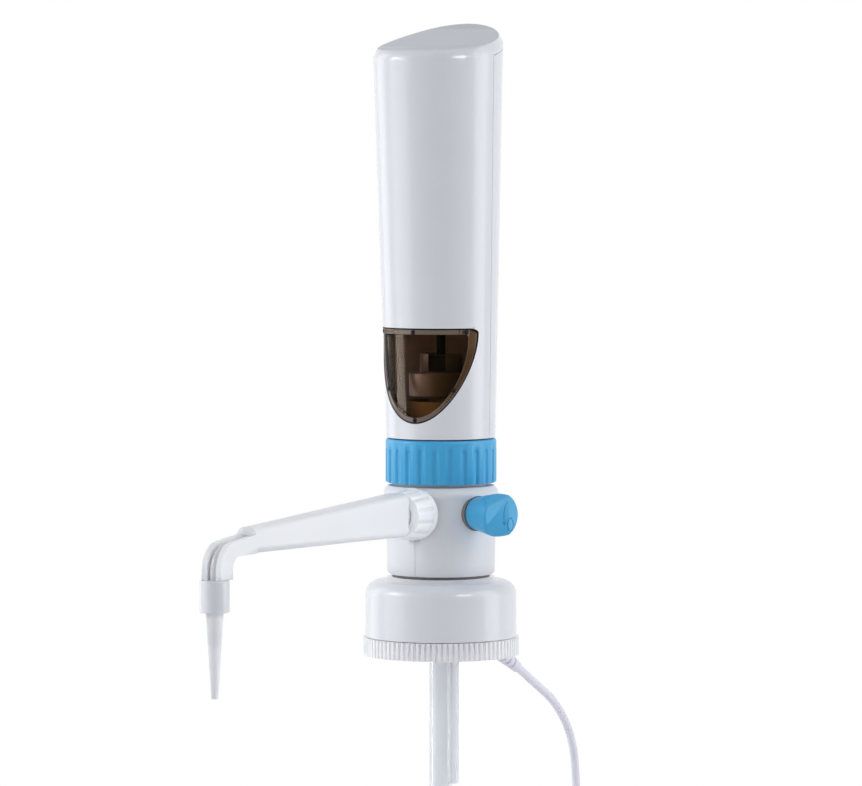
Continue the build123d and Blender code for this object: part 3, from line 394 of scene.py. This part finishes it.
def dressNodes():
    dressed = {}
    for finish, nodes in dress.items():
        material = makeFinish(finish)
        for node in nodes:
            piece = smoothCopy(node)
            piece.data.materials.clear()
            piece.data.materials.append(material)
            if node == shadedMatteTop["node"]:
                paintTopShade(piece.data)
            if node in couplingTurn["nodes"]:
                piece.data.transform(Matrix.Rotation(math.radians(couplingTurn["degrees"]), 4, "Z"))
            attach(piece, nodeBodies[node])
            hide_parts(node)
            dressed[node] = piece
    print("dressed", len(dressed), "nodes")
    return dressed


def nodeTree(name, inputs):
    tree = bpy.data.node_groups.new(name, "GeometryNodeTree")
    tree.interface.new_socket("Geometry", in_out="INPUT", socket_type="NodeSocketGeometry")
    for label, value in inputs.items():
        kind = "NodeSocketInt" if isinstance(value, int) else "NodeSocketFloat"
        tree.interface.new_socket(label, in_out="INPUT", socket_type=kind).default_value = value
    tree.interface.new_socket("Material", in_out="INPUT", socket_type="NodeSocketMaterial")
    tree.interface.new_socket("Geometry", in_out="OUTPUT", socket_type="NodeSocketGeometry")
    given = tree.nodes.new("NodeGroupInput")
    result = tree.nodes.new("NodeGroupOutput")
    realize = tree.nodes.new("GeometryNodeRealizeInstances")
    paint = tree.nodes.new("GeometryNodeSetMaterial")
    tree.links.new(realize.outputs[0], paint.inputs["Geometry"])
    tree.links.new(given.outputs["Material"], paint.inputs["Material"])
    tree.links.new(paint.outputs[0], result.inputs[0])
    return tree, given, realize


def scaled(tree, value, factor):
    return addNode(tree, "ShaderNodeMath", {"operation": "MULTIPLY"}, {1: factor}, {0: value}).outputs[0]


def combined(tree, operation, first, second):
    return addNode(tree, "ShaderNodeMath", {"operation": operation}, None, {0: first, 1: second}).outputs[0]


def raised(tree, shape, height):
    move = addNode(tree, "ShaderNodeCombineXYZ", None, None, {"Z": height})
    return addNode(tree, "GeometryNodeTransform", None, None,
                   {"Geometry": shape, "Translation": move.outputs[0]}).outputs[0]


def barrel(tree, sides, radius, depth):
    return addNode(tree, "GeometryNodeMeshCylinder", None, None,
                   {"Vertices": sides, "Radius": radius, "Depth": depth}).outputs["Mesh"]


def joined(tree, *shapes):
    whole = addNode(tree, "GeometryNodeJoinGeometry")
    for shape in shapes:
        tree.links.new(shape, whole.inputs[0])
    return whole.outputs[0]


def runTree(piece, tree, values):
    modifier = piece.modifiers.new(tree.name, "NODES")
    modifier.node_group = tree
    for item in tree.interface.items_tree:
        if item.item_type == "SOCKET" and item.in_out == "INPUT" and item.name in values:
            modifier[item.identifier] = values[item.name]
    piece.update_tag()
    graph = bpy.context.evaluated_depsgraph_get()
    baked = bpy.data.meshes.new_from_object(piece.evaluated_get(graph))
    piece.modifiers.clear()
    piece.data = baked
    baked.name = piece.name
    baked.shade_smooth()
    baked.set_sharp_from_angle(angle=smallCrispAngle)
    return piece


def facingPoints(name, spots):
    # a mesh of bare points, each with the way it faces
    mesh = bpy.data.meshes.new(name)
    mesh.from_pydata([tuple(place) for place, way, length in spots], [], [])
    facing = mesh.attributes.new("facing", "FLOAT_VECTOR", "POINT")
    for entry, (place, way, length) in zip(facing.data, spots):
        entry.vector = way
    return newObject(name, mesh)


def onPoints(tree, given, shape):
    facing = addNode(tree, "GeometryNodeInputNamedAttribute",
                     {"data_type": "FLOAT_VECTOR"}, {"Name": "facing"})
    turn = addNode(tree, "FunctionNodeAlignRotationToVector", {"axis": "Z"}, None,
                   {"Vector": facing.outputs["Attribute"]})
    return addNode(tree, "GeometryNodeInstanceOnPoints", None, None,
                   {"Points": given.outputs["Geometry"], "Instance": shape,
                    "Rotation": turn.outputs[0]}).outputs[0]


def looseParts(build):
    # the corners of each separate part, in a fixed order
    build.verts.index_update()
    reached = set()
    for first in build.verts:
        if first.index in reached:
            continue
        reached.add(first.index)
        part, queue = [], [first]
        while queue:
            vert = queue.pop()
            part.append(vert.co.copy())
            for edge in vert.link_edges:
                other = edge.other_vert(vert)
                if other.index not in reached:
                    reached.add(other.index)
                    queue.append(other)
        yield part


sortDigits = 5      # pins that lie level within 0.01 mm count as one row


def pinSpots(node, outward=None):
    # for each pin of a node: the middle of its outer end, its direction and its length
    build = mergedBuild(frame["nodes"][node].data)
    spots = []
    for places in looseParts(build):
        middle = sum(places, Vector()) / len(places)
        guess = outward or Vector((middle.x, middle.y, 0))
        outer = [p for p in places if (p - middle).dot(guess) > 0]
        inner = [p for p in places if (p - middle).dot(guess) <= 0]
        way = (sum(outer, Vector()) / len(outer) - sum(inner, Vector()) / len(inner)).normalized()
        reach = max((p - middle).dot(way) for p in places)
        depth = min((p - middle).dot(way) for p in places)
        spots.append((middle + way * reach, way, reach - depth))
    build.free()
    spots.sort(key=lambda spot: (round(spot[0].z, sortDigits), round(spot[0].x, sortDigits)))
    return spots


windowPins = {"Head Radius": 0.85 * mm, "Radius": 0.66 * mm, "Dome": 0.35, "Length": 2.4 * mm,
              "Sides": 20, "Rings": 10}


def addWindowPins():
    tree, given, realize = nodeTree("windowPins", windowPins)
    ball = addNode(tree, "GeometryNodeMeshUVSphere", None, None,
                   {"Segments": given.outputs["Sides"], "Rings": given.outputs["Rings"],
                    "Radius": given.outputs["Head Radius"]})
    flatten = addNode(tree, "ShaderNodeCombineXYZ", None, {"X": 1.0, "Y": 1.0}, {"Z": given.outputs["Dome"]})
    dome = addNode(tree, "GeometryNodeTransform", None, None,
                   {"Geometry": ball.outputs["Mesh"], "Scale": flatten.outputs[0]})
    shank = barrel(tree, given.outputs["Sides"], given.outputs["Radius"], given.outputs["Length"])
    sunk = raised(tree, shank, scaled(tree, given.outputs["Length"], -0.5))
    spread = onPoints(tree, given, joined(tree, dome.outputs[0], sunk))
    tree.links.new(spread, realize.inputs[0])
    spots = pinSpots("window_stakes")
    pins = facingPoints("window_pins", spots)
    runTree(pins, tree, {**windowPins, "Material": makeFinish("sealBlack")})
    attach(pins, nodeBodies["window_stakes"])
    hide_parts("window_stakes")
    print("window pins", len(spots))


screwLook = {"Head Radius": 1.86 * mm, "Head Height": 1.26 * mm, "Shank Radius": 0.98 * mm,
             "Slot Width": 0.42 * mm, "Slot Length": 2.3 * mm, "Slot Depth": 0.8 * mm, "Sides": 32,
             "Length": 6.0 * mm}
screwNodes = {"rear_cover_screws": Vector((0, 1, 0)),      # and the way the heads face
              "bracket_screws": Vector((0, 0, -1))}


def screwTree():
    tree, given, realize = nodeTree("crossHeadScrews", screwLook)
    length, headHeight = given.outputs["Length"], given.outputs["Head Height"]
    head = barrel(tree, given.outputs["Sides"], given.outputs["Head Radius"], headHeight)
    sunkHead = raised(tree, head, scaled(tree, headHeight, -0.5))
    cut = addNode(tree, "GeometryNodeMeshBoolean", {"operation": "DIFFERENCE", "solver": "EXACT"}, None,
                  {"Mesh 1": sunkHead})
    twice = scaled(tree, given.outputs["Slot Depth"], 2.0)
    for x, y in (("Slot Length", "Slot Width"), ("Slot Width", "Slot Length")):
        size = addNode(tree, "ShaderNodeCombineXYZ", None, None,
                       {"X": given.outputs[x], "Y": given.outputs[y], "Z": twice})
        bar = addNode(tree, "GeometryNodeMeshCube", None, None, {"Size": size.outputs[0]})
        tree.links.new(bar.outputs["Mesh"], cut.inputs["Mesh 2"])
    shank = barrel(tree, given.outputs["Sides"], given.outputs["Shank Radius"],
                   combined(tree, "SUBTRACT", length, headHeight))
    sunkShank = raised(tree, shank, scaled(tree, combined(tree, "ADD", length, headHeight), -0.5))
    spread = onPoints(tree, given, joined(tree, cut.outputs[0], sunkShank))
    tree.links.new(spread, realize.inputs[0])
    return tree


def addScrews():
    tree = screwTree()
    for node, outward in screwNodes.items():
        spots = pinSpots(node, outward)
        piece = facingPoints(node + "_heads", spots)
        longest = spots[0][2]
        runTree(piece, tree, {**screwLook, "Length": longest, "Material": makeFinish("steelPlain")})
        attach(piece, nodeBodies[node])
        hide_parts(node)
    print("screws have their heads")


screwThread = {"Crest": 1.69 * mm, "Root": 1.58 * mm, "Lead": 4.0 * mm, "Starts": 4, "Height": 73.0 * mm,
               "Ridge": 0.16 * mm, "Steps": 24, "Ridge Sides": 5, "Core Sides": 32}


def addLeadScrew():
    low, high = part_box("lead_screw")
    tree, given, realize = nodeTree("leadScrew", screwThread)
    height = given.outputs["Height"]
    inset = combined(tree, "SUBTRACT", given.outputs["Crest"], given.outputs["Ridge"])
    helix = addNode(tree, "GeometryNodeCurveSpiral", None, None,
                    {"Resolution": given.outputs["Steps"], "Start Radius": inset, "End Radius": inset,
                     "Rotations": combined(tree, "DIVIDE", height, given.outputs["Lead"]), "Height": height})
    wire = addNode(tree, "GeometryNodeCurvePrimitiveCircle", None, None,
                   {"Resolution": given.outputs["Ridge Sides"], "Radius": given.outputs["Ridge"]})
    ridge = addNode(tree, "GeometryNodeCurveToMesh", None, {"Fill Caps": True},
                    {"Curve": helix.outputs[0], "Profile Curve": wire.outputs[0]})
    # one copy of the ridge for each start, turned evenly about the axis
    ring = addNode(tree, "GeometryNodePoints", None, None, {"Count": given.outputs["Starts"]})
    index = addNode(tree, "GeometryNodeInputIndex")
    step = addNode(tree, "ShaderNodeMath", {"operation": "DIVIDE"}, {0: 2 * math.pi},
                   {1: given.outputs["Starts"]})
    turn = addNode(tree, "ShaderNodeCombineXYZ", None, None,
                   {"Z": combined(tree, "MULTIPLY", index.outputs[0], step.outputs[0])})
    spread = addNode(tree, "GeometryNodeInstanceOnPoints", None, None,
                     {"Points": ring.outputs[0], "Instance": ridge.outputs[0], "Rotation": turn.outputs[0]})
    core = raised(tree, barrel(tree, given.outputs["Core Sides"], given.outputs["Root"], height),
                  scaled(tree, height, 0.5))
    tree.links.new(joined(tree, core, spread.outputs[0]), realize.inputs[0])
    piece = facingPoints("lead_screw_thread", [])
    runTree(piece, tree, {**screwThread, "Height": high[2] - low[2], "Material": makeFinish("steelBlack")})
    for vert in piece.data.vertices:
        vert.co.z += low[2]
    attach(piece, nodeBodies["lead_screw"])
    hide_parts("lead_screw")
    print("lead screw is threaded")


# The tower's flared skin, in millimetres, and the rim that follows it round the lens.
towerShape = {"footZ": 76.3, "topZ": 215.0, "footR": 19.1, "topR": 22.8, "lean": 2.3}
windowEdge = {"topZ": 114.9, "drop": 33.2, "reach": 70.0, "corner": 1.4, "cornerGrow": 0.3,
              "inset": 0.55, "width": 1.55, "depth": 0.24, "thick": 0.25, "samples": 72}


def towerShare(z):
    return (z - towerShape["footZ"]) / (towerShape["topZ"] - towerShape["footZ"])


def towerRadius(share):
    return towerShape["footR"] + (towerShape["topR"] - towerShape["footR"]) * share


def towerSkin(x, z, depth):
    share = towerShare(z)
    radius = towerRadius(share) - depth
    return -towerShape["lean"] * share - math.sqrt(max(0.0, radius ** 2 - x ** 2))


def windowOutline(grow):
    # half an ellipse under a straight top with small corners
    share = towerShare(windowEdge["topZ"])
    half = towerRadius(share) * math.sin(math.radians(windowEdge["reach"])) + grow
    drop, top = windowEdge["drop"] + 2 * grow, windowEdge["topZ"] + grow
    steps, corner = windowEdge["samples"], windowEdge["corner"] + min(grow, 0) * windowEdge["cornerGrow"]
    start = math.asin(corner / drop)
    points = []
    for i in range(steps + 1):
        a = start + (math.pi - 2 * start) * i / steps
        points.append((half * math.cos(a), top - drop * math.sin(a)))
    left = -half + corner
    for i in range(steps // 2 + 1):
        points.append((left + (2 * half - 2 * corner) * i / (steps // 2), top))
    return points


def addWindowEdge():
    # the clear rim of the lens, where it is thickest, shows as a paler brown strip; this opaque strip is
    # painted light caught in the rim
    outer = windowOutline(-windowEdge["inset"])
    inner = windowOutline(-windowEdge["inset"] - windowEdge["width"])
    near, far = windowEdge["depth"], windowEdge["depth"] + windowEdge["thick"]
    verts, faces = [], []
    for line, depth in ((outer, near), (inner, near), (inner, far), (outer, far)):
        verts += [(x * mm, towerSkin(x, z, depth) * mm, z * mm) for x, z in line]
    count = len(outer)
    for i in range(count):
        j = (i + 1) % count
        for a, b in ((0, 1), (1, 2), (2, 3), (3, 0)):
            faces.append((a * count + i, a * count + j, b * count + j, b * count + i))
    mesh = bpy.data.meshes.new("window_edge")
    mesh.from_pydata(verts, [], faces)
    build = bmesh.new()
    build.from_mesh(mesh)
    bmesh.ops.recalc_face_normals(build, faces=build.faces)
    build.to_mesh(mesh)
    build.free()
    mesh.shade_smooth()
    mesh.set_sharp_from_angle(angle=crispAngle)
    mesh.materials.append(makeFinish("lensRimLight"))
    piece = newObject("window_edge", mesh)
    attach(piece, nodeBodies["window_lens"])
    print("window edge is in")


# An arrow and a drop engraved on the knob's end, in millimetres across and up its face; their dark blue lines
# are painted shade for the engraved grooves.
knobMark = {"turn": 68.5, "face": 32.5, "axisZ": 50.5, "line": 0.17, "sink": 0.09,
            "arrow": [(2.7, 4.9), (1.8, 3.5), (1.2, 1.9), (1.0, 0.2), (1.05, -1.5), (1.3, -3.4)],
            "head": [(0.45, -2.3), (1.3, -3.5), (1.95, -2.15)],
            "dropMiddle": (4.0, -3.2), "dropWide": 1.3, "dropTall": 2.3, "dropPinch": 0.35, "dropSteps": 28,
            "order": 3, "roundness": 2}


def dropOutline():
    x, z = knobMark["dropMiddle"]
    line = []
    for i in range(knobMark["dropSteps"]):
        a = 2 * math.pi * i / knobMark["dropSteps"]
        pinch = 1 - knobMark["dropPinch"] * max(0.0, math.sin(a)) ** 2      # narrower towards its top
        line.append((x + knobMark["dropWide"] * math.cos(a) * pinch, z + knobMark["dropTall"] * math.sin(a)))
    return line


def addKnobMark():
    turn = math.radians(knobMark["turn"])
    outward = Vector((math.sin(turn), -math.cos(turn), 0))
    right = Vector((math.cos(turn), math.sin(turn), 0))
    centre = outward * (knobMark["face"] - knobMark["sink"]) + Vector((0, 0, knobMark["axisZ"]))
    data = bpy.data.curves.new("knob_mark", "CURVE")
    data.dimensions = "3D"
    for line, kind, closed in ((knobMark["arrow"], "NURBS", False), (knobMark["head"], "POLY", False),
                               (dropOutline(), "POLY", True)):
        spline = data.splines.new(kind)
        spline.points.add(len(line) - 1)
        for point, (x, z) in zip(spline.points, line):
            place = centre + right * x + Vector((0, 0, z))
            point.co = (place.x * mm, place.y * mm, place.z * mm, 1)
        spline.use_cyclic_u = closed
        if kind == "NURBS":
            spline.order_u = knobMark["order"]
            spline.use_endpoint_u = True
    data.bevel_depth = knobMark["line"] * mm
    data.bevel_resolution = knobMark["roundness"]
    curve = newObject("knob_mark_curve", data)
    graph = bpy.context.evaluated_depsgraph_get()
    mesh = bpy.data.meshes.new_from_object(curve.evaluated_get(graph))
    bpy.data.objects.remove(curve)
    # the lines' dark blue is painted shade for the engraved grooves
    mesh.materials.clear()
    mesh.materials.append(makeFinish("grooveShadeBlue"))
    piece = newObject("knob_mark", mesh)
    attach(piece, nodeBodies["recirculation_knob"])
    print("knob is marked")


# The cable, in millimetres apart from its diameter and its length.
cordSetup = {
    "diameter": 3.0 * mm,
    "length": 1.52,
    "benchZ": -205.0,
    "coilCentre": (-22.0, 150.0),
    "coilRadius": 16.5,
    "coilWide": 3,              # turns side by side
    "coilLayers": 4,
    "pointsPerTurn": 14,
    "crossFrom": 0.75,          # where in a turn it steps over to the next
    "tail": [(10, 0.4), (24, 3.4)],     # past the coil's centre, and down from its top
    "plugAt": (38, 4.6),                # past the coil's centre, and up from the bench
    "order": 3,
    "stepsPerPoint": 8,
    "roundness": 5,
}
cablePoints = [     # from its exit down to the coil
    (0.0, 56.07, -9.52), (0.0, 62.36, -12.59),
    (0.0, 73.4, -18.4), (0.2, 86.4, -25.2), (0.5, 96.4, -34.4), (0.8, 102.2, -44.5),
    (0.9, 104.3, -58.5), (0.7, 104.6, -76.0), (0.2, 103.7, -101.0), (-0.6, 103.2, -130.0),
    (-1.4, 104.6, -159.0), (-2.1, 109.6, -183.0), (-2.6, 121.0, -198.8), (-2.9, 136.0, -203.2),
]


def coilPlace(turn):
    # the layer of a turn, and its place across the layer, which runs back on every second one
    layer, ring = divmod(turn, cordSetup["coilWide"])
    return layer, ring if layer % 2 == 0 else cordSetup["coilWide"] - 1 - ring


def coilPoints():
    d = cordSetup["diameter"] / mm
    cx, cy = cordSetup["coilCentre"]
    wide, layers, per = cordSetup["coilWide"], cordSetup["coilLayers"], cordSetup["pointsPerTurn"]
    turns = wide * layers
    swell = 1 / math.cos(math.pi / per) ** 0.5      # the curve runs a little inside its points
    points = []
    for i in range(turns * per + 1):
        turn = min(i // per, turns - 1)
        share = i / per - turn
        step = max(0.0, (share - cordSetup["crossFrom"]) / (1 - cordSetup["crossFrom"]))
        layer, place = coilPlace(turn)
        nextLayer, nextPlace = coilPlace(min(turn + 1, turns - 1))
        out = (wide - 1) / 2 - (place + (nextPlace - place) * step)
        height = layer + (nextLayer - layer) * step
        radius = (cordSetup["coilRadius"] + out * d) * swell
        a = 2 * math.pi * share
        points.append((cx + radius * math.cos(a), cy + radius * math.sin(a),
                       cordSetup["benchZ"] + d * (height + 0.5)))
    return points


def tailPoints():
    cx, cy = cordSetup["coilCentre"]
    d = cordSetup["diameter"] / mm
    x = cx + cordSetup["coilRadius"] + d
    top = cordSetup["benchZ"] + d * (cordSetup["coilLayers"] - 0.5)
    past, lift = cordSetup["plugAt"]
    return [*((x, cy + y, top - down) for y, down in cordSetup["tail"]),
            (x, cy + past, cordSetup["benchZ"] + lift)]


def addCable():
    points = [*cablePoints, *coilPoints(), *tailPoints()]
    data = bpy.data.curves.new("cable_run", "CURVE")
    data.dimensions = "3D"
    spline = data.splines.new("NURBS")
    spline.points.add(len(points) - 1)
    for point, (x, y, z) in zip(spline.points, points):
        point.co = (x * mm, y * mm, z * mm, 1)
    spline.order_u = cordSetup["order"]
    spline.use_endpoint_u = True
    spline.resolution_u = cordSetup["stepsPerPoint"]
    data.bevel_depth = cordSetup["diameter"] / 2
    data.bevel_resolution = cordSetup["roundness"]
    data.use_fill_caps = True
    cable = newObject("cable_run", data)
    data.materials.append(makeFinish("cableWhite"))
    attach(cable, nodeBodies["cable"])
    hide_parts("cable", "cable_coil")
    return cable, tuple(v * mm for v in points[0])


addCamera()
addSky()
addFloor()
pieces = dressNodes()
addLamps()
print("stage is set")
addWindowPins()
addScrews()
addLeadScrew()
addWindowEdge()
addKnobMark()
cable, cableExit = addCable()
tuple(cableExit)
print("cable is routed")

scene = bpy.context.scene
scene.view_settings.view_transform = "Standard"
